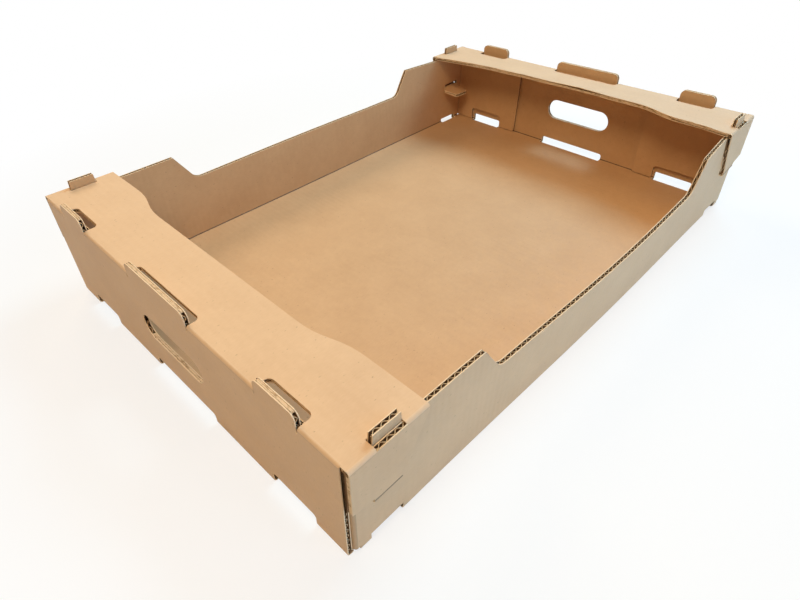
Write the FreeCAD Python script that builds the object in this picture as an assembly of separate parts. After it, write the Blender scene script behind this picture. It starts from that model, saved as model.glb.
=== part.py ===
import FreeCAD, Part
import math
import os

from FreeCAD import Vector

# An open stacking tray folded from one blank of single-wall corrugated board.
# Millimetres. X is the width, Y the length, Z is up, and the origin is the middle of the underside.

# The board and its folds
board_thickness = 4.0
fold_radius = 1.0
fold_corner_radius = 2.5
face_gap = 0.3

# The folded tray
tray_length = 600.0
tray_width = 400.0
ledge_height = 102.0
end_wall_setback = 2.7

# Side walls
low_wall_height = 67.5
raised_wall_clearance = 1.0
shoulder_top_run = 123.5
shoulder_foot_run = 144.0
shoulder_foot_radius = 14.0

# Ledges and the wavy inner edge
ledge_depth = 64.5
ledge_middle_depth = 55.0
wave_outer_run = 66.0
wave_inner_run = 94.0
wave_radius = 80.0

# Stacking tabs on the end walls, with the slots below them
end_tab_height = 10.0
end_tab_radius = 5.5
middle_tab_width = 82.5
outer_tab_width = 39.5
outer_tab_inset = 35.5
tab_side_clearance = 1.0
middle_hole_depth = 11.2
outer_hole_depth = 13.0
tab_hole_radius = 4.5
middle_slot_width = 89.0
middle_slot_height = 10.6
outer_slot_width = 46.0
outer_slot_height = 11.8
outer_slot_inset = 30.0
end_slot_floor_reach = 10.0
end_slot_radius = 3.0

# Stacking tabs on the side walls, with the slots below them
side_tab_inset = 33.5
side_tab_width = 23.0
side_tab_top_width = 22.0
side_tab_height = 7.5
side_slot_length = 30.0
side_slot_height = 8.0
side_slot_floor_reach = 7.7
side_tab_hole_reach = 1.0
side_notch_length = 24.0
notch_edge_drop = 1.0

# Hand holes
hand_hole_length = 86.0
hand_hole_height = 25.0
hand_hole_level = 51.5

# Corner flaps behind the end walls
corner_flap_reach = 106.0
corner_flap_lift = 1.0
corner_flap_drop = 1.3
corner_flap_chamfer = 2.0
cutout_margin = 2.0
cutout_height = 21.0
cutout_radius = 4.0

# Side flaps and their locking tabs
flap_end_gap = 1.0
flap_outer_foot = 59.0
lock_level = 50.5
lock_inset = 30.5
lock_neck_width = 24.0
lock_ear_width = 30.0
lock_ear_length = 5.0
lock_tip_reach = 25.7
lock_tip_radius = 4.0
lock_slot_clearance = 1.5
lock_slot_headroom = 4.5
lock_slot_footroom = 0.5

# Sizes that follow from those above
half_length = tray_length / 2
half_width = tray_width / 2
fold_reach = fold_radius + board_thickness
end_wall_inside = half_length - board_thickness
flap_inside = half_width - board_thickness
side_wall_outside = flap_inside - face_gap
side_wall_inside = side_wall_outside - board_thickness
end_wall_edge = side_wall_outside - end_wall_setback
corner_flap_outside = end_wall_inside - face_gap
corner_flap_inside = corner_flap_outside - board_thickness
side_wall_end = corner_flap_inside - fold_radius
ledge_underside = ledge_height - board_thickness
ledge_fold_level = ledge_height - fold_reach
raised_wall_height = ledge_underside - raised_wall_clearance
ledge_inner_edge = half_length - ledge_depth
ledge_middle_edge = half_length - ledge_middle_depth
flap_edge = half_length - flap_end_gap
outer_tab_centre = end_wall_edge - outer_tab_inset - outer_tab_width / 2
outer_slot_centre = end_wall_edge - outer_slot_inset - outer_slot_width / 2
side_tab_centre = half_length - side_tab_inset
lock_centre = half_length - lock_inset
end_tabs = (
    (-outer_tab_centre, outer_tab_width, outer_hole_depth),
    (0.0, middle_tab_width, middle_hole_depth),
    (outer_tab_centre, outer_tab_width, outer_hole_depth),
)
end_slots = (
    (-outer_slot_centre, outer_slot_width, outer_slot_height),
    (0.0, middle_slot_width, middle_slot_height),
    (outer_slot_centre, outer_slot_width, outer_slot_height),
)

X_AXIS = Vector(1, 0, 0)
Y_AXIS = Vector(0, 1, 0)
Z_AXIS = Vector(0, 0, 1)
CENTRE = Vector(0, 0, 0)


def box(x0, x1, y0, y1, z0, z1):
    """Block between two opposite corners."""
    return Part.makeBox(x1 - x0, y1 - y0, z1 - z0, Vector(x0, y0, z0))


def rounded_edges(corners, place):
    """Edges of a closed outline of (u, v, radius) corners, with an arc at each radius above zero."""
    count = len(corners)
    arcs = []
    for index, (u, v, radius) in enumerate(corners):
        here = Vector(u, v, 0)
        to_last = (Vector(*corners[index - 1][:2], 0) - here).normalize()
        to_next = (Vector(*corners[(index + 1) % count][:2], 0) - here).normalize()
        if radius == 0:
            arcs.append((here, None, here))
            continue
        half_angle = to_last.getAngle(to_next) / 2
        tangent = radius / math.tan(half_angle)
        bisector = (to_last + to_next).normalize()
        middle = here + bisector * (radius / math.sin(half_angle) - radius)
        arcs.append((here + to_last * tangent, middle, here + to_next * tangent))
    edges = []
    for index, (start, middle, end) in enumerate(arcs):
        last_end = arcs[index - 1][2]
        if last_end.distanceToPoint(start) > 1e-6:
            edges.append(Part.LineSegment(place(last_end), place(start)).toShape())
        if middle is not None:
            edges.append(Part.Arc(place(start), place(middle), place(end)).toShape())
    return edges


def plate(corners, place, thickness):
    """Flat panel: a rounded outline set in space by place(point) and thickened along one vector."""
    return Part.Face(Part.Wire(rounded_edges(corners, place))).extrude(thickness)


def in_level(level):
    """Places outline points (x, y) on a level plane."""
    return lambda point: Vector(point.x, point.y, level)


def across_width(offset):
    """Places outline points (y, z) on a plane square to X."""
    return lambda point: Vector(offset, point.x, point.y)


def across_length(offset):
    """Places outline points (x, z) on a plane square to Y."""
    return lambda point: Vector(point.x, offset, point.y)


def fold(centre, to_first, to_second, run):
    """Right-angled bend of the board about a line through centre, swept along the vector run."""
    diagonal = (to_first + to_second).normalize()
    inner = [centre + direction * fold_radius for direction in (to_first, diagonal, to_second)]
    outer_first = centre + to_first * fold_reach
    outer_second = centre + to_second * fold_reach
    straight = fold_reach - fold_corner_radius
    corner_start = outer_first + to_second * straight
    corner_end = outer_second + to_first * straight
    corner_middle = centre + (to_first + to_second) * straight + diagonal * fold_corner_radius
    wire = Part.Wire([
        Part.LineSegment(outer_first, corner_start).toShape(),
        Part.Arc(corner_start, corner_middle, corner_end).toShape(),
        Part.LineSegment(corner_end, outer_second).toShape(),
        Part.LineSegment(outer_second, inner[2]).toShape(),
        Part.Arc(inner[2], inner[1], inner[0]).toShape(),
        Part.LineSegment(inner[0], outer_first).toShape(),
    ])
    return Part.Face(wire).extrude(run)


def mirrored(shapes, normal):
    """The shapes together with their mirror images in the middle plane square to normal."""
    return shapes + [shape.mirror(CENTRE, normal) for shape in shapes]


def four_corners(shapes):
    """The shapes of one corner repeated in all four."""
    return mirrored(mirrored(shapes, X_AXIS), Y_AXIS)


def joined(shapes):
    """One solid from shapes that share faces."""
    return shapes[0].multiFuse(shapes[1:]).removeSplitter()


def floor():
    """Flat bottom panel between the folds of the walls."""
    half_x = side_wall_inside - fold_radius
    half_y = end_wall_inside - fold_radius
    return box(-half_x, half_x, -half_y, half_y, 0, board_thickness)


def side_wall():
    """Side wall at +X with its bottom fold: low in the middle, raised at both ends."""
    top_run = half_length - shoulder_top_run
    foot_run = half_length - shoulder_foot_run
    corners = [(-side_wall_end, fold_reach, 0), (side_wall_end, fold_reach, 0),
               (side_wall_end, raised_wall_height, 0), (top_run, raised_wall_height, 0),
               (foot_run, low_wall_height, shoulder_foot_radius),
               (-foot_run, low_wall_height, shoulder_foot_radius),
               (-top_run, raised_wall_height, 0), (-side_wall_end, raised_wall_height, 0)]
    wall = plate(corners, across_width(side_wall_inside), X_AXIS * board_thickness)
    bend_centre = Vector(side_wall_inside - fold_radius, -side_wall_end, fold_reach)
    return [wall, fold(bend_centre, X_AXIS, Z_AXIS * -1, Y_AXIS * (2 * side_wall_end))]


def side_wall_openings():
    """Stacking slots and locking slots cut through the side walls."""
    cuts = []
    half_slot = side_slot_length / 2
    slot_x = side_wall_outside - side_slot_floor_reach
    cuts.append(box(slot_x, half_width, side_tab_centre - half_slot, side_tab_centre + half_slot,
                    -board_thickness, side_slot_height))
    half_lock = lock_neck_width / 2 + lock_slot_clearance
    slot_bottom = lock_level - lock_slot_footroom
    slot_top = lock_level + board_thickness + lock_slot_headroom
    cuts.append(box(side_wall_inside - fold_radius, half_width,
                    lock_centre - half_lock, lock_centre + half_lock, slot_bottom, slot_top))
    return four_corners(cuts)


def end_wall():
    """End wall at +Y with its bottom fold."""
    wall = box(-end_wall_edge, end_wall_edge, end_wall_inside, half_length, fold_reach, ledge_fold_level)
    bend_centre = Vector(-end_wall_edge, end_wall_inside - fold_radius, fold_reach)
    return [wall, fold(bend_centre, Y_AXIS, Z_AXIS * -1, X_AXIS * (2 * end_wall_edge))]


def end_wall_openings():
    """Hand hole and the three bottom slots of the end wall at +Y."""
    half_hole = hand_hole_length / 2
    half_height = hand_hole_height / 2
    corners = []
    for u, v in ((-1, -1), (1, -1), (1, 1), (-1, 1)):
        corners.append((u * half_hole, hand_hole_level + v * half_height, half_height))
    cuts = [plate(corners, across_length(corner_flap_outside), Y_AXIS * (2 * board_thickness))]
    for centre, width, height in end_slots:
        half = width / 2
        corners = [(centre - half, -board_thickness, 0), (centre + half, -board_thickness, 0),
                   (centre + half, height, end_slot_radius), (centre - half, height, end_slot_radius)]
        reach = half_length - end_slot_floor_reach
        cuts.append(plate(corners, across_length(reach), Y_AXIS * (2 * end_slot_floor_reach)))
    return cuts


def corner_flap():
    """Corner flap at +X +Y: the end of the side wall, turned in behind the end wall."""
    bottom = board_thickness + corner_flap_lift
    top = ledge_underside - corner_flap_drop
    bend_x = side_wall_inside - fold_radius
    inner_x = side_wall_outside - corner_flap_reach
    half_cutout = outer_slot_width / 2 + cutout_margin
    corners = [(bend_x, bottom, 0), (bend_x, top, 0), (inner_x, top, 0),
               (inner_x, bottom + corner_flap_chamfer, 0), (inner_x + corner_flap_chamfer, bottom, 0),
               (outer_slot_centre - half_cutout, bottom, 0),
               (outer_slot_centre - half_cutout, cutout_height, cutout_radius),
               (outer_slot_centre + half_cutout, cutout_height, cutout_radius),
               (outer_slot_centre + half_cutout, bottom, 0)]
    flap = plate(corners, across_length(corner_flap_inside), Y_AXIS * board_thickness)
    bend_centre = Vector(bend_x, side_wall_end, bottom)
    return [flap, fold(bend_centre, X_AXIS, Y_AXIS, Z_AXIS * (top - bottom))]


def ledge():
    """Ledge at +Y with its fold to the end wall and its folds to the side flaps."""
    end_x = flap_inside - fold_radius
    bend_y = end_wall_inside - fold_radius
    half_edge = [(end_wall_edge, bend_y, 0), (end_wall_edge, flap_edge, 0), (end_x, flap_edge, 0),
                 (end_x, ledge_inner_edge, 0), (half_width - wave_outer_run, ledge_inner_edge, wave_radius),
                 (half_width - wave_inner_run, ledge_middle_edge, wave_radius)]
    other_half = [(-x, y, radius) for x, y, radius in reversed(half_edge)]
    panel = plate(half_edge + other_half, in_level(ledge_underside), Z_AXIS * board_thickness)
    long_bend = fold(Vector(-end_wall_edge, bend_y, ledge_fold_level), Y_AXIS, Z_AXIS,
                     X_AXIS * (2 * end_wall_edge))
    side_bend = fold(Vector(end_x, ledge_inner_edge, ledge_fold_level), X_AXIS, Z_AXIS,
                     Y_AXIS * (flap_edge - ledge_inner_edge))
    return [panel, long_bend] + mirrored([side_bend], X_AXIS)


def ledge_openings():
    """Holes that the end tabs leave behind them, and holes for the side tabs, in the ledge at +Y."""
    cuts = []
    for centre, width, depth in end_tabs:
        half = width / 2 + tab_side_clearance
        hole_edge = half_length - depth
        corners = [(centre - half, hole_edge, tab_hole_radius), (centre + half, hole_edge, tab_hole_radius),
                   (centre + half, half_length + board_thickness, 0),
                   (centre - half, half_length + board_thickness, 0)]
        cuts.append(plate(corners, in_level(ledge_fold_level), Z_AXIS * (2 * fold_reach)))
    half_slot = side_notch_length / 2
    side_hole = box(side_wall_inside - side_tab_hole_reach, half_width + board_thickness,
                    side_tab_centre - half_slot, side_tab_centre + half_slot,
                    ledge_fold_level, ledge_height + board_thickness)
    return cuts + mirrored([side_hole], X_AXIS)


def end_stacking_tabs():
    """Three tabs that carry the end wall at +Y up past the ledge."""
    tabs = []
    top = ledge_height + end_tab_height
    for centre, width, _ in end_tabs:
        half = width / 2
        corners = [(centre - half, ledge_fold_level, 0), (centre + half, ledge_fold_level, 0),
                   (centre + half, top, end_tab_radius), (centre - half, top, end_tab_radius)]
        tabs.append(plate(corners, across_length(end_wall_inside), Y_AXIS * board_thickness))
    return tabs


def side_stacking_tab():
    """Tab on the side wall at +X +Y that rises through the ledge's end."""
    half_base = side_tab_width / 2
    half_top = side_tab_top_width / 2
    top = ledge_height + side_tab_height
    corners = [(side_tab_centre - half_base, raised_wall_height, 0),
               (side_tab_centre + half_base, raised_wall_height, 0),
               (side_tab_centre + half_base, ledge_height, 0), (side_tab_centre + half_top, top, 0),
               (side_tab_centre - half_top, top, 0), (side_tab_centre - half_base, ledge_height, 0)]
    return plate(corners, across_width(side_wall_inside), X_AXIS * board_thickness)


def side_flap():
    """Side flap at +X +Y outside the side wall, with the straight edge of its notch."""
    half_neck = lock_neck_width / 2
    notch_start = side_tab_centre - side_notch_length / 2
    notch_end = side_tab_centre + side_notch_length / 2
    notch_top = ledge_height - notch_edge_drop
    lock_top = lock_level + fold_reach
    corners = [(lock_centre - half_neck, lock_top, 0), (lock_centre + half_neck, lock_top, 0),
               (flap_edge, flap_outer_foot, 0), (flap_edge, ledge_fold_level, 0),
               (notch_end, ledge_fold_level, 0), (notch_end, notch_top, 0),
               (notch_start, notch_top, 0), (notch_start, ledge_fold_level, 0),
               (ledge_inner_edge, ledge_fold_level, 0)]
    return plate(corners, across_width(flap_inside), X_AXIS * board_thickness)


def lock_tab():
    """Locking tab at +X +Y: bent in at the flap's foot, through the wall's slot, with an ear each side."""
    half_neck = lock_neck_width / 2
    half_ear = lock_ear_width / 2
    bend_x = flap_inside - fold_radius
    ear_x = side_wall_inside - face_gap
    tip_x = side_wall_inside - lock_tip_reach
    ear_end = ear_x - lock_ear_length
    corners = [(bend_x, lock_centre - half_neck, 0), (bend_x, lock_centre + half_neck, 0),
               (ear_x, lock_centre + half_neck, 0), (ear_x, lock_centre + half_ear, 0),
               (ear_end, lock_centre + half_ear, 0), (tip_x, lock_centre + half_neck, lock_tip_radius),
               (tip_x, lock_centre - half_neck, lock_tip_radius), (ear_end, lock_centre - half_ear, 0),
               (ear_x, lock_centre - half_ear, 0), (ear_x, lock_centre - half_neck, 0)]
    tab = plate(corners, in_level(lock_level), Z_AXIS * board_thickness)
    bend_centre = Vector(bend_x, lock_centre - half_neck, lock_level + fold_reach)
    return [tab, fold(bend_centre, X_AXIS, Z_AXIS * -1, Y_AXIS * lock_neck_width)]


def folded_tray():
    """The whole folded blank as one solid."""
    walls = [floor()] + mirrored(side_wall(), X_AXIS) + mirrored(end_wall(), Y_AXIS)
    shell = joined(walls).cut(side_wall_openings() + mirrored(end_wall_openings(), Y_AXIS))
    one_ledge = joined(ledge()).cut(ledge_openings())
    ledges = mirrored([one_ledge] + end_stacking_tabs(), Y_AXIS)
    corners = four_corners(corner_flap() + [side_stacking_tab(), side_flap()] + lock_tab())
    return joined([shell] + ledges + corners)


def main():
    """Builds the tray and writes its file."""
    os.makedirs("parts", exist_ok=True)
    tray = folded_tray()
    solid = tray.Solids[0]
    bounds = solid.BoundBox
    print("solids", len(tray.Solids), "valid", solid.isValid(), "faces", len(solid.Faces))
    print("size", round(bounds.XLength, 3), round(bounds.YLength, 3), round(bounds.ZLength, 3))
    print("volume", round(solid.Volume, 1), "area", round(solid.Area, 1))
    solid.exportStep("parts/folded_tray.step")


main()
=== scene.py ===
"""Open stacking tray folded from corrugated board: its papers, flutes, finishes, light and camera."""
import logging
import math
from dataclasses import dataclass, field
from enum import Enum

import bmesh
import bpy
import numpy as np
from bmesh.types import BMesh, BMFace, BMVert
from bpy.types import Material, Mesh, Node, NodeSocket, NodeTree, Object
from mathutils import Matrix, Vector
from mathutils.bvhtree import BVHTree


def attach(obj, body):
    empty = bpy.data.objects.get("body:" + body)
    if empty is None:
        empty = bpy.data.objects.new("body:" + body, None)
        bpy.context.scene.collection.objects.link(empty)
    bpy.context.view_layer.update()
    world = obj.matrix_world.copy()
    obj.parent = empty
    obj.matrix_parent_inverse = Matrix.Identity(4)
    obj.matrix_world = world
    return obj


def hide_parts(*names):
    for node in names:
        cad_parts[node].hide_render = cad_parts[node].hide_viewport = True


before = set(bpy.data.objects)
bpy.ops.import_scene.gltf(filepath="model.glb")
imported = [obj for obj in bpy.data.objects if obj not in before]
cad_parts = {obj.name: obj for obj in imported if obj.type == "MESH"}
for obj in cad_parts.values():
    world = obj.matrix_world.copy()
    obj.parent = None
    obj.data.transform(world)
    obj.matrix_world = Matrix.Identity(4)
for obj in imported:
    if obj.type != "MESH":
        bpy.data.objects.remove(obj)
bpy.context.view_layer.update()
LOG = logging.getLogger("cardboard_tray")
NODE = "folded_tray"
Pair = tuple[float, float]
Triple = tuple[float, float, float]


class Way(Enum):
    """Axis of the tray that a size is measured along."""

    WIDTH = 0
    LENGTH = 1
    HEIGHT = 2

    def unit(self) -> Vector:
        """Gives the step of length 1 along this axis."""
        step = Vector((0.0, 0.0, 0.0))
        step[self.value] = 1.0
        return step


class Side(Enum):
    """The two papers of the board: the one that faces out of the tray and the one that faces in."""

    OUTER = "outer"
    INNER = "inner"


@dataclass(frozen=True)
class Board:
    """Single-wall board: its sizes in metres, and the steps that draw one wave."""

    thickness: float = 0.004
    liner: float = 0.00075
    medium: float = 0.0005
    crushed: float = 0.0014
    pitch: float = 0.0064
    steps: int = 10

    def wave_height(self) -> float:
        """Height of the fluted paper's middle above the middle of the board."""
        return self.thickness / 2 - self.liner - self.medium / 2


@dataclass(frozen=True)
class Settling:
    """How the real tray sits off its true shape, in metres.

    It is a little twisted, its ledges lift, its side walls bow, its left shoulder flares, and its back
    locking tabs and one back flap hang down.
    """

    half_width: float = 0.2
    half_length: float = 0.3
    twist: float = 0.0025
    overrun: float = 1.1
    ledge_fold: float = 0.295
    ledge_edge: float = 0.2355
    ledge_end: float = 0.190
    ledge_level: float = 0.0975
    ledge_bend: float = 1.3
    ledge_waves: tuple[Triple, ...] = ((0.25, 31.0, 0.8), (0.12, 83.0, 0.0))
    back_lift: float = 0.0040
    front_lift: float = 0.0005
    bow_level: float = 0.0675
    bow_overrun: float = 1.2
    bow_bend: float = 1.5
    right_bow: float = 0.0054
    left_bow: float = -0.0034
    foot_bow: float = 0.0022
    bow_middle: float = 0.025
    bow_reach: float = 0.250
    bow_floor: float = 0.10
    back_right_lean: float = -0.0045
    back_from: float = 0.150
    back_reach: float = 0.090
    left_face: float = -0.19
    left_flare: float = -0.0048
    flare_from: float = 0.5
    shoulder: float = 0.165
    shoulder_reach: float = 0.085
    wall_top: float = 0.100
    corner_shift: Pair = (0.002, -0.003)
    lock_root: float = 0.191
    lock_level: float = 0.0525
    lock_centre: float = 0.2695
    lock_half_width: float = 0.016
    lock_length: float = 0.030
    lock_half_board: float = 0.003
    lock_bend: float = 0.004
    left_droop: float = math.radians(7)
    right_droop: float = math.radians(55)
    lock_skew: float = -0.005
    flap_inside: float = 0.19585
    flap_drop: float = -0.0045
    flap_edge: float = 0.2375
    flap_margin: float = 0.001
    flap_reach: float = 0.050

    def moved(self, points: np.ndarray) -> np.ndarray:
        """Moves points from the true shape to the settled one.

        Args:
            points: An N by 3 array of places in metres.

        Returns:
            The moved places, in a new array.
        """
        settled = points.copy()
        x, y, z = points[:, 0], points[:, 1], points[:, 2]
        settled[:, 2] += self.twist * x * y * z / (self.half_width * self.half_length * self.wall_top)
        reach = (self.ledge_fold - np.abs(y)) / (self.ledge_fold - self.ledge_edge)
        reach = np.clip(reach, 0.0, self.overrun)
        middle = np.clip(1.0 - (x / self.ledge_end) ** 4, 0.0, 1.0)
        wave = 1.0 + sum(share * np.sin(x * turns + start) for share, turns, start in self.ledge_waves)
        lift = np.where(y > 0, self.back_lift * wave, self.front_lift)
        on_ledge = (z > self.ledge_level) & (np.abs(y) < self.ledge_fold) & (np.abs(x) < self.ledge_end)
        settled[:, 2] += np.where(on_ledge, lift * middle * reach ** self.ledge_bend, 0.0)
        span = self.hump(y, np.where(x > 0, self.bow_middle, 0.0), self.bow_reach)
        height = np.clip(z / self.bow_level, 0.0, self.bow_overrun)
        outward = np.clip((np.abs(x) - self.bow_floor) / (self.half_width - self.bow_floor), 0.0, 1.0)
        outward = outward ** self.bow_bend
        top = np.where(x > 0, self.right_bow, self.left_bow)
        settled[:, 0] += (self.foot_bow + (top - self.foot_bow) * height) * span * outward
        rise = np.clip(z / self.wall_top, 0.0, self.overrun)
        back = np.clip((y - self.back_from) / self.back_reach, 0.0, 1.0)
        right = np.clip(x / self.half_width, 0.0, 1.0) ** 2
        settled[:, 0] += self.back_right_lean * back * rise * right
        raised = np.clip(rise - self.flare_from, 0.0, 1.0 - self.flare_from) / (1.0 - self.flare_from)
        flare = self.hump(y, self.shoulder, self.shoulder_reach) * raised
        settled[:, 0] += np.where(x < self.left_face, self.left_flare * flare, 0.0)
        corner = np.clip(-x / self.half_width, 0.0, 1.0) * np.clip(y / self.half_length, 0.0, 1.0) ** 2
        corner *= np.clip(1.0 - z / self.wall_top, 0.0, 1.0)
        settled[:, 0] += self.corner_shift[0] * corner
        settled[:, 1] += self.corner_shift[1] * corner
        hanging = np.clip((self.flap_edge + self.flap_reach - y) / self.flap_reach, 0.0, 1.0)
        hanging *= np.clip((self.wall_top - z) / self.flap_reach, 0.0, 1.0)
        on_flap = (x > self.flap_inside) & (y > self.flap_edge - self.flap_margin)
        on_flap &= z > self.lock_level - self.lock_half_board
        settled[:, 2] += np.where(on_flap, self.flap_drop * hanging, 0.0)
        return settled + self.droop(points)

    def droop(self, points: np.ndarray) -> np.ndarray:
        """Gives how far each point moves as the two back locking tabs hang down inside the side walls."""
        x, y, z = points[:, 0], points[:, 1], points[:, 2]
        inward = self.lock_root - np.abs(x)
        above = z - self.lock_level
        on_tab = (inward > 0) & (inward < self.lock_length) & (np.abs(above) < self.lock_half_board)
        on_tab &= np.abs(y - self.lock_centre) < self.lock_half_width
        angle = np.where(x > 0, self.right_droop, self.left_droop)
        turned = inward * np.cos(angle) - above * np.sin(angle)
        lowered = above * np.cos(angle) - inward * np.sin(angle)
        aside = self.lock_skew * np.clip(inward / self.lock_bend, 0.0, 1.0)
        moves = np.stack([np.sign(x) * (inward - turned), aside, lowered - above], axis=1)
        return np.where(on_tab[:, None], moves, 0.0)

    def hump(self, along: np.ndarray, middle: object, reach: float) -> np.ndarray:
        """Gives a smooth hump: 1 at its middle and 0 from its reach on."""
        return np.cos(np.clip((along - middle) / reach, -1.0, 1.0) * math.pi / 2) ** 2

    def settle(self, mesh: Mesh) -> None:
        """Moves every point of a finished mesh to its settled place."""
        places = np.empty(len(mesh.vertices) * 3, np.float64)
        mesh.vertices.foreach_get("co", places)
        settled = self.moved(places.reshape(-1, 3))
        mesh.vertices.foreach_set("co", settled.astype(np.float32).ravel())
        mesh.update()


@dataclass(frozen=True)
class Blank:
    """Layout of the flat blank, which gives every panel its place in one pattern, in metres."""

    wall_outside: float = 0.196
    end_outside: float = 0.300
    ledge_level: float = 0.102
    end_wall_inside: float = 0.29585
    side_wall_outside: float = 0.19585
    floor_top: float = 0.02
    ledge_bottom: float = 0.09
    tab_reach: float = 0.5
    tab_shift: float = 0.4

    def place(self, point: Vector, normal: Vector) -> Pair:
        """Finds where a point of the folded tray lies on the flat blank.

        Args:
            point: A point of one of the papers.
            normal: The way that the paper faces there.

        Returns:
            Its place across and along the flat blank.
        """
        right = math.copysign(1.0, point.x)
        back = math.copysign(1.0, point.y)
        lean = [abs(part) for part in normal]
        facing = lean.index(max(lean))
        if facing == Way.HEIGHT.value:
            if point.z < self.floor_top:
                return point.x, point.y
            if point.z > self.ledge_bottom:
                return point.x, back * (self.end_outside * 2 + self.ledge_level - abs(point.y))
            return right * (self.tab_reach - abs(point.x)), point.y + back * self.tab_shift
        if facing == Way.LENGTH.value:
            if abs(point.y) > self.end_wall_inside:
                return point.x, back * (self.end_outside + point.z)
            across = self.end_outside + self.wall_outside - abs(point.x)
            return right * (self.wall_outside + point.z), back * across
        if abs(point.x) < self.side_wall_outside:
            return right * (self.wall_outside + point.z), point.y
        along = self.end_outside * 2 + self.ledge_level - abs(point.y)
        return right * (self.wall_outside + self.ledge_level - point.z), back * along


@dataclass(frozen=True)
class Shades:
    """Nodes of one material, with short calls that add and link them."""

    tree: NodeTree

    def add(self, kind: str, **settings: object) -> Node:
        """Adds a node and sets its own properties.

        Args:
            kind: The node's type.
            **settings: Properties of the node and their values.

        Returns:
            The new node.
        """
        node = self.tree.nodes.new(kind)
        for name, value in settings.items():
            setattr(node, name, value)
        return node

    def link(self, source: NodeSocket, target: NodeSocket) -> None:
        """Links an output to an input."""
        self.tree.links.new(source, target)

    def piped(self, kind: str, source: NodeSocket, **settings: object) -> Node:
        """Adds a node as add does, with its first input linked to a source."""
        node = self.add(kind, **settings)
        self.link(source, node.inputs[0])
        return node

    def math(self, operation: str, first: object, second: object = 0.0) -> NodeSocket:
        """Adds a sum of two sockets or numbers.

        Args:
            operation: The Math node's operation.
            first: A socket or a number.
            second: A socket or a number.

        Returns:
            The result's socket.
        """
        node = self.add("ShaderNodeMath", operation=operation)
        for place, value in enumerate((first, second)):
            if isinstance(value, NodeSocket):
                self.link(value, node.inputs[place])
            else:
                node.inputs[place].default_value = value
        return node.outputs[0]

    def noise(self, place: NodeSocket, scale: float, detail: float = 3.0,
              stretch: Triple = (1.0, 1.0, 1.0)) -> NodeSocket:
        """Adds a noise pattern on stretched coordinates.

        Args:
            place: The coordinates.
            scale: The pattern's own scale.
            detail: How many finer layers it has.
            stretch: The coordinates' scale along each axis.

        Returns:
            The pattern's value, from 0 to 1.
        """
        mapping = self.piped("ShaderNodeMapping", place)
        mapping.inputs["Scale"].default_value = stretch
        pattern = self.add("ShaderNodeTexNoise")
        pattern.inputs["Scale"].default_value = scale
        pattern.inputs["Detail"].default_value = detail
        self.link(mapping.outputs["Vector"], pattern.inputs["Vector"])
        return pattern.outputs["Fac"]

    def ramp(self, value: NodeSocket, low: float, high: float, to_low: float, to_high: float) -> NodeSocket:
        """Adds a clamped change of range.

        Args:
            value: The value to change.
            low: The value that becomes to_low.
            high: The value that becomes to_high.
            to_low: What low becomes.
            to_high: What high becomes.

        Returns:
            The new value's socket.
        """
        node = self.add("ShaderNodeMapRange", clamp=True)
        self.link(value, node.inputs["Value"])
        for name, number in (("From Min", low), ("From Max", high), ("To Min", to_low), ("To Max", to_high)):
            node.inputs[name].default_value = number
        return node.outputs["Result"]

    def blend(self, share: NodeSocket, first: object, second: object) -> NodeSocket:
        """Adds a mix of two colours.

        Args:
            share: The second colour's share.
            first: A colour's socket, or its three parts.
            second: A colour's socket, or its three parts.

        Returns:
            The mixed colour's socket.
        """
        node = self.add("ShaderNodeMix", data_type="RGBA", clamp_factor=True)
        self.link(share, node.inputs["Factor"])
        for name, value in (("A", first), ("B", second)):
            if isinstance(value, NodeSocket):
                self.link(value, node.inputs[name])
            else:
                node.inputs[name].default_value = (*value, 1.0)
        return node.outputs["Result"]

    def bump(self, height: NodeSocket, strength: float, distance: float, shader: Node) -> None:
        """Adds a bump to a shader's surface.

        Args:
            height: The pattern that is raised.
            strength: How much of it shows.
            distance: Its height in metres.
            shader: The shader that it goes to.
        """
        node = self.add("ShaderNodeBump")
        node.inputs["Strength"].default_value = strength
        node.inputs["Distance"].default_value = distance
        self.link(height, node.inputs["Height"])
        self.link(node.outputs["Normal"], shader.inputs["Normal"])

    def seen(self) -> NodeSocket:
        """Tells where a thing is seen by the camera, directly, in a gloss or through something clear."""
        path = self.add("ShaderNodeLightPath").outputs
        return self.math("MAXIMUM", path["Is Camera Ray"],
                         self.math("MAXIMUM", path["Is Glossy Ray"], path["Is Transmission Ray"]))

    def shown(self, share: NodeSocket, first: Node, second: Node, output: str) -> None:
        """Links a mix of two shaders to the output.

        Args:
            share: The second shader's share.
            first: A shader.
            second: A shader.
            output: The output node's name.
        """
        node = self.piped("ShaderNodeMixShader", share)
        self.link(first.outputs[0], node.inputs[1])
        self.link(second.outputs[0], node.inputs[2])
        self.link(node.outputs["Shader"], self.tree.nodes[output].inputs["Surface"])


def new_material(name: str, roughness: float = 0.9,
                 specular: float = 0.2) -> tuple[Material, Shades, Node]:
    """Adds a material with nodes.

    Args:
        name: Its name.
        roughness: How rough its surface is.
        specular: How strongly it mirrors.

    Returns:
        The material, its nodes and its shader.
    """
    material = bpy.data.materials.new(name)
    material.use_nodes = True
    shader = material.node_tree.nodes["Principled BSDF"]
    shader.inputs["Roughness"].default_value = roughness
    shader.inputs["Specular IOR Level"].default_value = specular
    return material, Shades(material.node_tree), shader


@dataclass(frozen=True)
class Finish:
    """A paper's finish: its name, its colour and the darker one of its grain."""

    name: str
    colour: Triple
    dark: Triple


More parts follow.
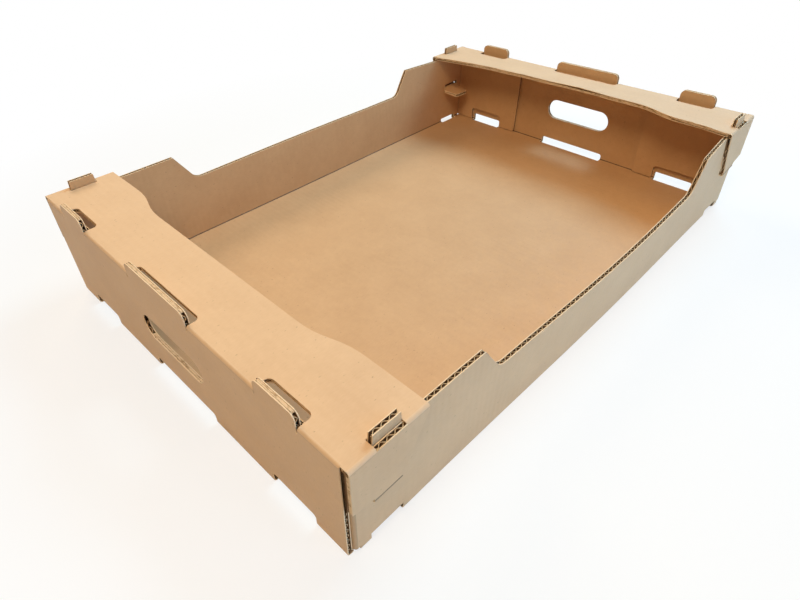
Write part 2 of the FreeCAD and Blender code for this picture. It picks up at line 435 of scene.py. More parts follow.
@dataclass(frozen=True)
class KraftPaper(Finish):
    """Brown kraft liner: cloudy, with fine fibres, flecks and faint flute lines; painted shade darkens its
    folds, and its outer folds are paler from wear and a painted highlight.
    """

    pitch: float
    roughness: float = 0.62
    specular: float = 0.45
    clouding: float = 0.75
    cloud_scale: float = 22.0
    patch_scale: float = 120.0
    fibre_scale: float = 900.0
    fleck_scale: float = 620.0
    spread: Pair = (0.3, 0.7)
    depths: Triple = (0.5, 0.35, 0.3)
    middle_tone: float = 0.55
    fleck_edge: Pair = (0.72, 0.78)
    # Paler outer folds are partly wear and partly a painted highlight; darker folds are painted shade,
    # coloured as the dark grain colour times the depth below.
    worn_share: float = 0.4
    fold_shade_depth: float = 0.32

    def material(self) -> Material:
        """Builds the material.

        Returns:
            The new material.
        """
        material, shades, shader = new_material(self.name, self.roughness, self.specular)
        place = shades.add("ShaderNodeUVMap", uv_map="blank").outputs["UV"]
        clouds = shades.noise(place, self.cloud_scale)
        patches = shades.noise(place, self.patch_scale, 4.0)
        fibres = shades.noise(place, self.fibre_scale, 3.0, (1.0, 0.22, 1.0))
        flecks = shades.noise(place, self.fleck_scale, 1.0, (1.0, 0.45, 1.0))
        layers = [shades.ramp(pattern, *self.spread, -depth, depth)
                  for pattern, depth in zip((clouds, patches, fibres), self.depths)]
        mix = shades.math("ADD", shades.math("ADD", layers[0], layers[1]), layers[2])
        mix = shades.math("MULTIPLY_ADD", mix, self.clouding / 2)
        mix.node.inputs[2].default_value = self.middle_tone
        tone = shades.blend(mix, self.dark, self.colour)
        spotted = shades.blend(shades.ramp(flecks, *self.fleck_edge, 0.0, 0.55), tone,
                               tuple(part * 0.55 for part in self.dark))
        # Fold values: below 0 is painted shade along the fold, above 0 is paler wear with a painted
        # highlight.
        fold_wear_and_shade = shades.add("ShaderNodeAttribute", attribute_name="fold_wear_and_shade").outputs["Fac"]
        # Paler outer folds: partly wear, partly a painted highlight.
        worn = shades.blend(shades.math("MULTIPLY", fold_wear_and_shade, self.worn_share), spotted,
                            tuple(0.3 + 0.65 * part for part in self.colour))
        # Darker folds: painted shade along inner, upright and lock folds.
        pressed = shades.blend(shades.math("MULTIPLY", fold_wear_and_shade, -1.0), worn,
                               tuple(part * self.fold_shade_depth for part in self.dark))
        shades.link(pressed, shader.inputs["Base Color"])
        parts = shades.piped("ShaderNodeSeparateXYZ", place)
        turn = shades.math("MULTIPLY", parts.outputs["Y"], 2 * math.pi / self.pitch)
        flutes = shades.math("MULTIPLY", shades.math("SINE", turn), 0.5)
        grain = shades.math("MULTIPLY", fibres, 0.25)
        height = shades.math("ADD", flutes, shades.math("ADD", grain, shades.math("MULTIPLY", patches, 0.6)))
        shades.bump(height, 0.35, 0.00012, shader)
        shades.link(shades.ramp(patches, *self.spread, self.roughness - 0.05, self.roughness + 0.06),
                    shader.inputs["Roughness"])
        return material


@dataclass(frozen=True)
class FlutingPaper(Finish):
    """Rough paper of the waves between the liners, paler where it is cut; the fluting's darker colour is
    painted shade of the flute channels.
    """

    cut: Triple

    def material(self) -> Material:
        """Builds the material.

        Returns:
            The new material.
        """
        material, shades, shader = new_material(self.name)
        place = shades.add("ShaderNodeTexCoord").outputs["Object"]
        fibres = shades.noise(place, 1400.0)
        tone = shades.blend(shades.ramp(fibres, 0.35, 0.65, 0.0, 1.0), self.dark, self.colour)
        tip = shades.add("ShaderNodeAttribute", attribute_name="tip").outputs["Fac"]
        tips = shades.blend(shades.math("POWER", tip, 2.0), tone, self.cut)
        shades.link(tips, shader.inputs["Base Color"])
        shades.bump(fibres, 0.5, 0.0001, shader)
        return material


@dataclass(frozen=True)
class CutPaper(Finish):
    """Torn fibres along a cut edge: pale streaks with darker ones between them."""

    pale_share: float
    softness: float = 0.12

    def material(self) -> Material:
        """Builds the material.

        Returns:
            The new material.
        """
        material, shades, shader = new_material(self.name)
        place = shades.add("ShaderNodeTexCoord").outputs["Object"]
        streaks = shades.noise(place, 1100.0, 2.0, (0.22, 1.0, 1.0))
        patches = shades.noise(place, 130.0, 2.0)
        mix = shades.math("ADD", streaks, shades.math("MULTIPLY", patches, 0.7))
        middle = 1.35 - self.pale_share
        share = shades.ramp(mix, middle - self.softness, middle + self.softness, 0.0, 1.0)
        shades.link(shades.blend(share, self.dark, self.colour), shader.inputs["Base Color"])
        shades.bump(streaks, 0.6, 0.00015, shader)
        return material


@dataclass(frozen=True)
class Panel:
    """One flat panel of the board, as the range that its flutes fill, in metres.

    The flutes run along one way and their waves follow each other across another. Level is the middle of
    the board's thickness, measured along the third way.
    """

    name: str
    level_way: Way
    level: float
    run_way: Way
    run: Pair
    across_way: Way
    across: Pair

    def point(self, along: float, across: float) -> Vector:
        """Gives the point of the panel's middle sheet at two distances."""
        place = Vector((0.0, 0.0, 0.0))
        place[self.level_way.value] = self.level
        place[self.run_way.value] = along
        place[self.across_way.value] = across
        return place

    def mirrored(self, way: Way) -> "Panel":
        """Gives the same panel on the other side of the tray.

        Args:
            way: The axis whose sign changes.

        Returns:
            The mirrored panel, or this one where it crosses the middle.
        """
        level, run, across = self.level, self.run, self.across
        if self.level_way is way:
            level = -level
        if self.run_way is way:
            run = (-run[1], -run[0])
        if self.across_way is way:
            across = (-across[1], -across[0])
        return Panel(self.name, self.level_way, level, self.run_way, run, self.across_way, across)


@dataclass
class PackedBoard:
    """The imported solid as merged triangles, parted into its two papers and its cut edges."""

    shallow: float = math.radians(40)
    merge: float = 2e-6
    flat: float = 0.99
    floor_top: float = 0.005
    outside: float = -0.4
    ray_reach: float = 1.0
    ray_step: float = 2e-6
    least_board: float = 0.0045
    least_stretch: float = 0.0008
    solid: BMesh = field(init=False)
    tree: BVHTree = field(init=False)
    papers: dict[Side, set[int]] = field(init=False)

    def __post_init__(self) -> None:
        """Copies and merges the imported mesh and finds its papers."""
        self.solid = bmesh.new()
        self.solid.from_mesh(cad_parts[NODE].data)
        bmesh.ops.remove_doubles(self.solid, verts=self.solid.verts, dist=self.merge)
        self.solid.faces.ensure_lookup_table()
        self.solid.normal_update()
        self.tree = BVHTree.FromBMesh(self.solid)
        self.papers = {side: self.paper(side) for side in Side}

    def seed(self, side: Side) -> BMFace:
        """Gives the floor's face nearest the middle on one side of the board."""
        up = 1.0 if side is Side.INNER else -1.0
        facing = [face for face in self.solid.faces if face.normal.z * up > self.flat
                  and face.calc_center_median().z < self.floor_top]
        return min(facing, key=lambda face: face.calc_center_median().xy.length)

    def paper(self, side: Side) -> set[int]:
        """Finds the faces of one paper, which join each other over shallow edges only.

        Args:
            side: Which of the two papers.

        Returns:
            The numbers of its faces.
        """
        start = self.seed(side)
        found = {start.index}
        waiting = [start]
        while waiting:
            face = waiting.pop()
            for edge in face.edges:
                if edge.calc_face_angle(math.tau) > self.shallow:
                    continue
                for other in edge.link_faces:
                    if other.index not in found:
                        found.add(other.index)
                        waiting.append(other)
        return found

    def in_paper(self, face: BMFace) -> bool:
        """Tells whether a face belongs to one of the two papers."""
        return any(face.index in paper for paper in self.papers.values())

    def sheet(self, side: Side) -> BMesh:
        """Copies one paper as an open sheet.

        Args:
            side: Which of the two papers.

        Returns:
            The sheet, facing away from the middle of the board.
        """
        wanted = self.papers[side]
        sheet = self.solid.copy()
        sheet.faces.ensure_lookup_table()
        unwanted = [face for face in sheet.faces if face.index not in wanted]
        bmesh.ops.delete(sheet, geom=unwanted, context="FACES")
        return sheet

    def spans(self, panel: Panel, across: float) -> list[Pair]:
        """Finds where a line along the flutes runs inside the board.

        Args:
            panel: The panel that the line lies in.
            across: The line's place across the flutes.

        Returns:
            The start and end of each stretch, longer than the board is thick.
        """
        step = panel.run_way.unit()
        start = panel.point(self.outside, across)
        entry = None
        stretches = []
        while True:
            place, normal, _, _ = self.tree.ray_cast(start, step, self.ray_reach)
            if place is None:
                break
            travelled = place[panel.run_way.value]
            if normal.dot(step) < 0:
                entry = travelled if entry is None else entry
            elif entry is not None:
                stretches.append((entry, travelled))
                entry = None
            start = place + step * self.ray_step
        low, high = panel.run
        cut = [(max(low, begin), min(high, end)) for begin, end in stretches
               if end - begin > self.least_board]
        return [(begin, end) for begin, end in cut if end - begin > self.least_stretch]


def plain_mesh(piece: Object) -> None:
    """Turns the evaluated piece into a plain mesh and removes its modifiers."""
    graph = bpy.context.evaluated_depsgraph_get()
    made = bpy.data.meshes.new_from_object(piece.evaluated_get(graph))
    piece.modifiers.clear()
    piece.data = made


def placed(name: str, data: bpy.types.ID) -> Object:
    """Adds an object with the given data to the scene."""
    thing = bpy.data.objects.new(name, data)
    bpy.context.scene.collection.objects.link(thing)
    return thing


def new_piece(name: str, sheet: BMesh, *finishes: Material) -> Object:
    """Adds a drawn sheet to the scene as an object at the origin.

    Args:
        name: The piece's name.
        sheet: The sheet, which is used up.
        *finishes: Its materials, in order.

    Returns:
        The new piece.
    """
    mesh = bpy.data.meshes.new(name)
    sheet.to_mesh(mesh)
    sheet.free()
    for finish in finishes:
        mesh.materials.append(finish)
    return placed(name, mesh)


@dataclass
class BoardPiece:
    """What every piece of the board is built from, and how it is finished.

    Edges steeper than the angle smooth stay sharp.
    """

    board: Board
    packed: PackedBoard
    settling: Settling
    smooth: float = math.radians(35)
    fold_lean: float = 0.9995

    def finish(self, piece: Object) -> None:
        """Settles a piece, smooths its shading and fixes it to the tray.

        Args:
            piece: The piece, as a plain mesh.
        """
        self.settling.settle(piece.data)
        piece.data.shade_smooth()
        piece.data.set_sharp_from_angle(angle=self.smooth)
        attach(piece, "root")
        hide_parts(NODE)
        LOG.info("%s: %d faces", piece.name, len(piece.data.polygons))


@dataclass
class LinerPapers(BoardPiece):
    """The two flat papers of the board, which follow every panel and fold."""

    blank: Blank = field(default_factory=Blank)
    grid: float = 0.019
    grid_reach: Triple = (0.19, 0.285, 0.095)
    flat_angle: float = 0.002
    cut_merge: float = 1e-6
    # Height range of the lock fold, which gets a dark painted shadow line on the outer paper.
    lock_fold: Pair = (0.046, 0.062)
    flap_face: float = 0.199
    lock_neck: Pair = (0.2575, 0.2815)
    score_levels: Triple = (0.0529, 0.0535, 0.0541)
    score_depth: float = 0.0006
    score_slack: float = 1e-5
    # Where the gutters lie whose cuts and glued sides get painted shade.
    gutter_level: float = 0.050
    gutter_side: float = 0.17
    gutter_ends: Pair = (0.2475, 0.2945)
    flap_inside: float = 0.1955
    upright: float = 0.1
    cut_slot: int = 1
    glued_slot: int = 2
    # Slot of the dark finish painted as shade deep in a gutter.
    gutter_shade_slot: int = 3
    # Fold values: the negative ones are painted shade along inner folds, upright corner folds and the lock
    # fold's slot line; the positive one on outer folds is paler wear with a painted highlight.
    fold_wear_and_shade_levels: dict[str, float] = field(default_factory=lambda: {
        "inner_upright": -0.2, "outer_upright": -0.35, "inner": -1.0, "lock": -0.9, "outer": 0.35})

    def gridded(self, sheet: BMesh) -> None:
        """Cuts a sheet along evenly spaced planes, so that it can bend."""
        bmesh.ops.dissolve_limit(sheet, angle_limit=self.flat_angle, verts=sheet.verts, edges=sheet.edges)
        bmesh.ops.triangulate(sheet, faces=sheet.faces)
        for way, half in zip(Way, self.grid_reach):
            count = round(half / self.grid)
            for number in range(-count, count + 1):
                everything = sheet.verts[:] + sheet.edges[:] + sheet.faces[:]
                bmesh.ops.bisect_plane(sheet, geom=everything, dist=self.cut_merge, plane_no=way.unit(),
                                       plane_co=way.unit() * number * self.grid)
        bmesh.ops.triangulate(sheet, faces=sheet.faces)

    def scored(self, sheet: BMesh) -> None:
        """Presses a line into the outer paper where each side flap turns in through its slot."""
        low, high = self.lock_neck
        cuts = [(Way.LENGTH, sign * end) for sign in (1, -1) for end in (low, high)]
        cuts += [(Way.HEIGHT, level) for level in self.score_levels]
        for way, distance in cuts:
            faces = [face for face in sheet.faces if abs(face.calc_center_median().x) > self.flap_face]
            edges = dict.fromkeys(edge for face in faces for edge in face.edges)
            corners = dict.fromkeys(corner for face in faces for corner in face.verts)
            bmesh.ops.bisect_plane(sheet, geom=[*faces, *edges, *corners], dist=self.cut_merge,
                                   plane_no=way.unit(), plane_co=way.unit() * distance)
        for vertex in sheet.verts:
            at_line = abs(vertex.co.z - self.score_levels[1]) < self.score_slack
            in_neck = low - self.score_slack < abs(vertex.co.y) < high + self.score_slack
            if at_line and in_neck and abs(vertex.co.x) > self.flap_face:
                vertex.co.x -= math.copysign(self.score_depth, vertex.co.x)
        bmesh.ops.triangulate(sheet, faces=sheet.faces)

    def shaded(self, mesh: Mesh, side: Side) -> None:
        """Paints shade on the inner paper's cuts and the outer paper's glued side where they lie in a
        gutter, by giving them the dark fluting finish.
        """
        near, far = self.gutter_ends
        changed = self.cut_slot if side is Side.INNER else self.glued_slot
        for polygon in mesh.polygons:
            x, y, z = (abs(part) for part in polygon.center)
            if polygon.material_index == changed and z > self.gutter_level and x > self.gutter_side:
                if y > far or (x > self.flap_inside and y < near):
                    polygon.material_index = self.gutter_shade_slot

    def fold_wear_and_shade(self, side: Side, face: BMFace) -> float:
        """Gives a fold's painted colour change: from -1, a pressed-in fold darkened by painted shade, to 1,
        paler wear with a painted highlight.
        """
        if max(abs(part) for part in face.normal) >= self.fold_lean:
            return 0.0
        low, high = self.lock_fold
        if abs(face.normal.z) < self.upright:
            return self.fold_wear_and_shade_levels[f"{side.value}_upright"]
        if side is Side.OUTER and low < face.calc_center_median().z < high:
            return self.fold_wear_and_shade_levels["lock"]
        return self.fold_wear_and_shade_levels[side.value]

    def laid_out(self, sheet: BMesh, side: Side) -> None:
        """Gives a sheet its place on the flat blank and marks its folds with their painted shade and
        highlight values.
        """
        places = sheet.loops.layers.uv.new("blank")
        fold_wear_and_shade_layer = sheet.loops.layers.float.new("fold_wear_and_shade")
        sheet.normal_update()
        for face in sheet.faces:
            shade = self.fold_wear_and_shade(side, face)
            for loop in face.loops:
                loop[places].uv = self.blank.place(loop.vert.co, face.normal)
                loop[fold_wear_and_shade_layer] = shade

    def build(self, side: Side, material: Material, cut: Material, glued: Material, deep: Material) -> None:
        """Builds one paper.

        Args:
            side: Which of the two papers.
            material: Its finish.
            cut: The finish of its cut edges.
            glued: The finish of its side that faces the flutes.
            deep: The dark finish painted as shade on what lies deep in a gutter.
        """
        sheet = self.packed.sheet(side)
        self.gridded(sheet)
        if side is Side.OUTER:
            self.scored(sheet)
        self.laid_out(sheet, side)
        piece = new_piece(f"{side.value}_paper", sheet, material, cut, glued, deep)
        wall = piece.modifiers.new("paper thickness", "SOLIDIFY")
        wall.thickness = self.board.liner
        wall.offset = -1.0
        wall.use_even_offset = True
        wall.material_offset_rim = self.cut_slot
        wall.material_offset = self.glued_slot
        plain_mesh(piece)
        self.shaded(piece.data, side)
        self.finish(piece)


@dataclass
class FlutedMedium(BoardPiece):
    """The wavy paper between the liners, built flat and waved by Geometry Nodes."""

    smooth: float = math.radians(50)
    inset: float = 0.0006
    deep_inset: float = 0.004
    deep_level: float = 0.050
    segment: float = 0.040
    wall_segment: float = 0.019
    floor_segment: float = 0.120
    tip: float = 0.0005
    most_tip: float = 0.3
    margin: float = 0.04
    matching: float = 0.004
    closing: float = 5e-6

    def panels(self) -> list[Panel]:
        """Lists every flat panel of the board.

        Returns:
            All panels: the floor, then those at both ends, at both sides and at all four corners.
        """
        width, length, height = Way.WIDTH, Way.LENGTH, Way.HEIGHT
        found = [Panel("floor", height, 0.002, width, (-0.1907, 0.1907), length, (-0.295, 0.295))]
        ends = [
            Panel("end_wall", length, 0.298, width, (-0.193, 0.193), height, (0.005, 0.097)),
            Panel("middle_end_tab", length, 0.298, width, (-0.0413, 0.0413), height, (0.097, 0.1115)),
            Panel("ledge", height, 0.100, width, (-0.195, 0.195), length, (0.2355, 0.295)),
        ]
        wall = Panel("side_wall", width, 0.1937, height, (0.005, 0.11), length, (-0.2907, 0.2907))
        corners = [
            Panel("outer_end_tab", length, 0.298, width, (0.1179, 0.1576), height, (0.097, 0.1115)),
            Panel("corner_flap", length, 0.2937, height, (0.004, 0.0975), width, (0.0897, 0.1907)),
            Panel("side_flap_inner", width, 0.198, height, (0.055, 0.097), length, (0.2415, 0.2545)),
            Panel("side_flap_notch", width, 0.198, height, (0.055, 0.101), length, (0.2545, 0.2785)),
            Panel("side_flap_outer", width, 0.198, height, (0.055, 0.097), length, (0.2785, 0.2975)),
            Panel("lock_tab", height, 0.0525, width, (0.166, 0.1905), length, (0.2545, 0.2845)),
        ]
        for panel in ends:
            found += [panel, panel.mirrored(length)]
        found += [wall, wall.mirrored(width)]
        for panel in corners:
            found += [panel, panel.mirrored(width), panel.mirrored(length)]
            found.append(panel.mirrored(width).mirrored(length))
        return found

    def stretches(self, panel: Panel, low: float, high: float) -> list[tuple[float, float, float, float]]:
        """Finds the board's stretches between two lines along the flutes.

        Args:
            panel: The panel that the lines lie in.
            low: The first line's place across the flutes.
            high: The second line's place.

        Returns:
            For each stretch its start and end on the first line, then on the second.
        """
        margin = (high - low) * self.margin
        first = self.packed.spans(panel, low + margin)
        second = self.packed.spans(panel, high - margin)
        matched = len(first) == len(second)
        if matched:
            matched = all(abs(one[end] - two[end]) < self.matching
                          for one, two in zip(first, second) for end in (0, 1))
        if not matched:
            first = self.packed.spans(panel, (low + high) / 2)
            second = first
        deep = panel.name == "end_wall" and low > self.deep_level
        inset = self.deep_inset if deep else self.inset
        return [(one[0] + inset, one[1] - inset, two[0] + inset, two[1] - inset)
                for one, two in zip(first, second)]

    def strips(self, panel: Panel, sheet: BMesh) -> None:
        """Adds a panel's flat strips to a sheet.

        Args:
            panel: The panel to fill.
            sheet: The mesh that they are added to.
        """
        wave_place = sheet.verts.layers.float["across"]
        cut_end = sheet.verts.layers.float["tip"]
        step = self.board.pitch / self.board.steps
        low, high = panel.across
        count = math.ceil((high - low) / step)
        lines = [low + (high - low) * number / count for number in range(count + 1)]
        segment = {"side_wall": self.wall_segment, "floor": self.floor_segment}.get(panel.name, self.segment)
        for near, far in zip(lines, lines[1:]):
            for begin_near, end_near, begin_far, end_far in self.stretches(panel, near, far):
                pieces = max(1, round((end_near - begin_near) / segment))
                tip = min(self.most_tip, self.tip / (end_near - begin_near))
                inner = [tip + (1.0 - 2.0 * tip) * number / pieces for number in range(pieces + 1)]
                previous = None
                for share in [0.0, *inner, 1.0]:
                    pair = []
                    for line, begin, end in ((near, begin_near, end_near), (far, begin_far, end_far)):
                        corner = sheet.verts.new(panel.point(begin + (end - begin) * share, line))
                        corner[wave_place] = line
                        corner[cut_end] = 1.0 if share in (0.0, 1.0) else 0.0
                        pair.append(corner)
                    if previous is not None:
                        sheet.faces.new((previous[0], pair[0], pair[1], previous[1]))
                    previous = pair

    def tree(self) -> NodeTree:
        """Builds the tree that waves flat strips and gives them the paper's thickness.

        Returns:
            The new Geometry Nodes tree.
        """
        tree = bpy.data.node_groups.new("flute_waves", "GeometryNodeTree")
        for name, kind in (("Flat strips", "Geometry"), ("Flute pitch", "Float"), ("Wave height", "Float"),
                           ("Paper thickness", "Float"), ("Paper", "Material")):
            tree.interface.new_socket(name, in_out="INPUT", socket_type=f"NodeSocket{kind}")
        tree.interface.new_socket("Waves", in_out="OUTPUT", socket_type="NodeSocketGeometry")
        nodes = Shades(tree)
        given = nodes.add("NodeGroupInput").outputs
        across = nodes.add("GeometryNodeInputNamedAttribute", data_type="FLOAT")
        across.inputs["Name"].default_value = "across"
        waves = nodes.math("DIVIDE", across.outputs["Attribute"], given["Flute pitch"])
        waves = nodes.math("SINE", nodes.math("MULTIPLY", waves, 2 * math.pi))
        waves = nodes.math("MULTIPLY", waves, given["Wave height"])
        upward = nodes.add("GeometryNodeInputNormal").outputs["Normal"]
        lift = nodes.piped("ShaderNodeVectorMath", upward, operation="SCALE")
        nodes.link(waves, lift.inputs["Scale"])
        moved = nodes.piped("GeometryNodeSetPosition", given["Flat strips"])
        nodes.link(lift.outputs["Vector"], moved.inputs["Offset"])
        thick = nodes.piped("GeometryNodeExtrudeMesh", moved.outputs["Geometry"], mode="FACES")
        thick.inputs["Individual"].default_value = False
        nodes.link(given["Paper thickness"], thick.inputs["Offset Scale"])
        back = nodes.piped("GeometryNodeFlipFaces", moved.outputs["Geometry"])
        both = nodes.piped("GeometryNodeJoinGeometry", thick.outputs["Mesh"])
        nodes.link(back.outputs["Mesh"], both.inputs["Geometry"])
        closed = nodes.piped("GeometryNodeMergeByDistance", both.outputs["Geometry"])
        closed.inputs["Distance"].default_value = self.closing
        real = nodes.piped("GeometryNodeRealizeInstances", closed.outputs["Geometry"])
        dressed = nodes.piped("GeometryNodeSetMaterial", real.outputs["Geometry"])
        nodes.link(given["Paper"], dressed.inputs["Material"])
        nodes.piped("NodeGroupOutput", dressed.outputs["Geometry"])
        return tree

    def build(self, material: Material) -> None:
        """Builds the waves of every panel as one piece.

        Args:
            material: Their finish.
        """
        sheet = bmesh.new()
        sheet.verts.layers.float.new("across")
        sheet.verts.layers.float.new("tip")
        for panel in self.panels():
            self.strips(panel, sheet)
        bmesh.ops.remove_doubles(sheet, verts=sheet.verts, dist=self.packed.merge)
        piece = new_piece("fluting", sheet)
        waves = piece.modifiers.new("waves", "NODES")
        waves.node_group = self.tree()
        values = {
            "Flute pitch": self.board.pitch,
            "Wave height": self.board.wave_height(),
            "Paper thickness": self.board.medium,
            "Paper": material,
        }
        for socket in waves.node_group.interface.items_tree:
            if socket.name in values:
                waves[socket.identifier] = values[socket.name]
        plain_mesh(piece)
        self.finish(piece)


@dataclass
class CrushedFolds(BoardPiece):
    """The flattened fluting inside each fold."""

    def build(self, material: Material) -> None:
        """Builds the flattened fluting of every fold as one piece.

        Args:
            material: Its finish.
        """
        sheet = self.packed.sheet(Side.INNER)
        sheet.normal_update()
        facing = {vertex: vertex.normal.copy() for vertex in sheet.verts}
        flat = [face for face in sheet.faces if max(abs(part) for part in face.normal) > self.fold_lean]
        bmesh.ops.delete(sheet, geom=flat, context="FACES")
        for vertex in sheet.verts:
            vertex.co -= facing[vertex] * self.board.thickness / 2
        piece = new_piece("crushed_folds", sheet, material)
        wall = piece.modifiers.new("crushed thickness", "SOLIDIFY")
        wall.thickness = self.board.crushed
        wall.offset = 0.0
        plain_mesh(piece)
        self.finish(piece)


@dataclass
class CrushedEdges(BoardPiece):
    """The closed strips where the knife pressed the papers together, as it does along the flutes."""

    recess: float = 0.0003
    depth: float = 0.0009
    along_flutes: float = 0.5
    facing: float = 0.9
    clearance: float = 0.00003
    end_wall_inside: float = 0.2959
    flap_end: float = 0.2945

    def pressed(self, face: BMFace) -> bool:
        """Tells whether a face is a cut that runs along the flutes, or an outer end of a side flap."""
        if self.packed.in_paper(face) or abs(face.normal.x) > self.along_flutes:
            return False
        away = abs(face.calc_center_median().y)
        for edge in face.edges:
            for other in edge.link_faces:
                if not self.packed.in_paper(other):
                    continue
                if abs(other.normal.z) > self.facing:
                    return True
                if abs(other.normal.y) > self.facing:
                    return away > self.end_wall_inside
                if abs(other.normal.x) > self.facing:
                    return away > self.flap_end
        return False

    def place(self, vertex: BMVert, cuts: set[int]) -> Vector:
        """Gives a corner of a strip, drawn in from the papers and from the cut."""
        paper = Vector((0.0, 0.0, 0.0))
        cut = Vector((0.0, 0.0, 0.0))
        for face in vertex.link_faces:
            if face.index in cuts:
                cut += face.normal
            elif self.packed.in_paper(face):
                paper += face.normal
        drawn = vertex.co - cut.normalized() * self.recess
        return drawn - paper.normalized() * (self.board.liner + self.clearance)

    def build(self, material: Material) -> None:
        """Builds every strip as one piece.

        Args:
            material: Their finish.
        """
        cuts = {face.index for face in self.packed.solid.faces if self.pressed(face)}
        strip = bmesh.new()
        made = {}
        for number in sorted(cuts):
            corners = []
            for vertex in self.packed.solid.faces[number].verts:
                if vertex.index not in made:
                    made[vertex.index] = strip.verts.new(self.place(vertex, cuts))
                corners.append(made[vertex.index])
            strip.faces.new(corners)
        piece = new_piece("crushed_edges", strip, material)
        wall = piece.modifiers.new("strip thickness", "SOLIDIFY")
        wall.thickness = self.depth
        wall.offset = -1.0
        plain_mesh(piece)
        self.finish(piece)


@dataclass(frozen=True)
class Lamp:
    """One large soft lamp that faces the tray: place and size in metres, power in watts."""

    name: str
    place: Triple
    size: float
    power: float
    colour: Triple


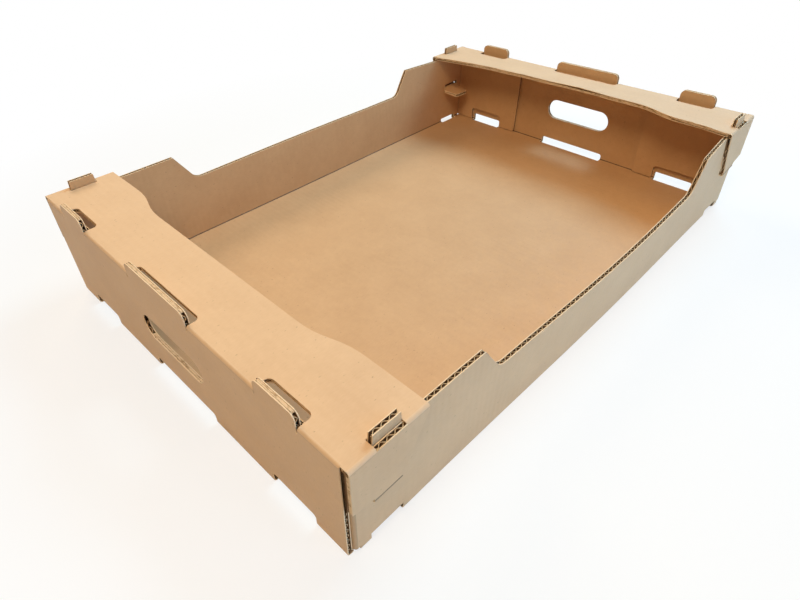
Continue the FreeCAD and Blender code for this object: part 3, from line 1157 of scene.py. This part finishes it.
@dataclass
class Studio:
    """White floor, soft lamps, white surroundings and the camera."""

    centre: Triple = (0.0, 0.0, 0.05)
    floor_reach: float = 6.0
    floor_drop: float = 0.0002
    fade_reach: Pair = (0.40, 0.62)
    least_white: float = 0.72
    eye: Triple = (0.325796, -0.399538, 0.353420)
    eye_right: Triple = (0.704363, 0.709481, -0.022563)
    eye_down: Triple = (0.450370, -0.471238, -0.758354)
    eye_ahead: Triple = (-0.548670, 0.523995, -0.651452)
    focal_pixels: float = 561.39
    picture_width: float = 800.0
    picture_height: float = 600.0
    middle_pixels: Pair = (371.71, 301.80)
    level: float = 0.02
    level_colour: Triple = (1.0, 0.97, 0.93)
    lamps: tuple[Lamp, ...] = (
        Lamp("near_lamp", (0.30, -0.60, 1.10), 0.5, 9.2, (1.0, 0.78, 0.50)),
        Lamp("left_lamp", (-1.3, 0.2, 1.2), 1.0, 13.6, (1.0, 0.76, 0.48)),
        Lamp("back_lamp", (0.0, 1.0, 1.2), 0.8, 18.8, (0.48, 0.78, 1.0)),
        Lamp("low_window", (1.5, 0.1, 0.16), 0.3, 6.2, (0.50, 0.78, 1.0)),
        Lamp("high_window", (1.5, 0.4, 0.9), 1.0, 5.0, (0.20, 0.50, 1.0)),
    )

    def floor(self) -> None:
        """Builds the pale floor, which fades to plain white away from the tray."""
        sheet = bmesh.new()
        bmesh.ops.create_circle(sheet, cap_ends=True, segments=96, radius=self.floor_reach)
        material, shades, shader = new_material("studio_white", specular=0.0)
        shader.inputs["Base Color"].default_value = (0.92, 0.92, 0.92, 1.0)
        glow = shades.add("ShaderNodeEmission")
        place = shades.add("ShaderNodeTexCoord").outputs["Object"]
        away = shades.piped("ShaderNodeVectorMath", place, operation="LENGTH").outputs["Value"]
        white = shades.ramp(away, *self.fade_reach, self.least_white, 1.0)
        shades.shown(shades.math("MULTIPLY", white, shades.seen()), shader, glow, "Material Output")
        piece = new_piece("studio_floor", sheet, material)
        piece.location.z = -self.floor_drop

    def surroundings(self) -> None:
        """Sets the even light from all round, with white where it is seen directly."""
        world = bpy.data.worlds.new("studio")
        world.use_nodes = True
        bpy.context.scene.world = world
        shades = Shades(world.node_tree)
        light = world.node_tree.nodes["Background"]
        light.inputs["Color"].default_value = (*self.level_colour, 1.0)
        light.inputs["Strength"].default_value = self.level
        white = shades.add("ShaderNodeBackground")
        white.inputs["Color"].default_value = (1.0, 1.0, 1.0, 1.0)
        shades.shown(shades.seen(), light, white, "World Output")

    def lamp(self, chosen: Lamp) -> None:
        """Adds one lamp, turned towards the tray.

        Args:
            chosen: The lamp's values.
        """
        data = bpy.data.lights.new(chosen.name, "AREA")
        data.shape = "DISK"
        data.size = chosen.size
        data.energy = chosen.power
        data.color = chosen.colour
        lamp = placed(chosen.name, data)
        lamp.location = chosen.place
        aim = Vector(self.centre) - Vector(chosen.place)
        lamp.rotation_euler = aim.to_track_quat("-Z", "Y").to_euler()

    def camera(self) -> None:
        """Places the camera where the photograph was taken from."""
        data = bpy.data.cameras.new("camera")
        data.sensor_width = 36.0
        data.lens = self.focal_pixels / self.picture_width * data.sensor_width
        data.shift_x = (self.picture_width / 2 - self.middle_pixels[0]) / self.picture_width
        data.shift_y = (self.middle_pixels[1] - self.picture_height / 2) / self.picture_width
        data.clip_start = 0.01
        camera = placed("camera", data)
        columns = (Vector(self.eye_right), -Vector(self.eye_down), -Vector(self.eye_ahead))
        camera.matrix_world = Matrix.Translation(self.eye) @ Matrix(columns).transposed().to_4x4()
        bpy.context.scene.camera = camera

    def build(self) -> None:
        """Builds the whole studio."""
        scene = bpy.context.scene
        scene.view_settings.view_transform = "Standard"
        self.floor()
        self.surroundings()
        for chosen in self.lamps:
            self.lamp(chosen)
        self.camera()
        LOG.info("studio: floor, surroundings, %d lamps and camera", len(self.lamps))


def main() -> None:
    """Builds and dresses the tray, then the studio."""
    logging.basicConfig(level=logging.INFO, format="%(name)s: %(message)s")
    board = Board()
    packed = PackedBoard()
    settling = Settling()
    outside = KraftPaper("outer_kraft", (0.71, 0.480, 0.288), (0.60, 0.385, 0.220), board.pitch)
    inside = KraftPaper("inner_kraft", (0.63, 0.390, 0.205), (0.52, 0.305, 0.150), board.pitch)
    # The fluting's dark colour is painted shade of the flute channels; its pale cut tips are the paper's own
    # colour.
    waves = FlutingPaper("fluting_paper_and_shade", (0.26, 0.150, 0.075), (0.16, 0.090, 0.042), (0.60, 0.42, 0.25))
    glued = FlutingPaper("glued_side", (0.48, 0.310, 0.175), (0.38, 0.235, 0.125), (0.60, 0.42, 0.25))
    cut = CutPaper("cut_paper", (0.80, 0.60, 0.40), (0.52, 0.34, 0.19), 0.75).material()
    pressed = CutPaper("pressed_edge", (0.72, 0.52, 0.33), (0.36, 0.225, 0.120), 0.62)
    papers = LinerPapers(board, packed, settling)
    # The fluting's finish, which is also given as painted shade to what lies deep in the gutters.
    fluting_and_shade = waves.material()
    papers.build(Side.OUTER, outside.material(), cut, glued.material(), fluting_and_shade)
    papers.build(Side.INNER, inside.material(), cut, fluting_and_shade, fluting_and_shade)
    FlutedMedium(board, packed, settling).build(fluting_and_shade)
    CrushedFolds(board, packed, settling).build(fluting_and_shade)
    CrushedEdges(board, packed, settling).build(pressed.material())
    Studio().build()


if __name__ == "__main__":
    main()
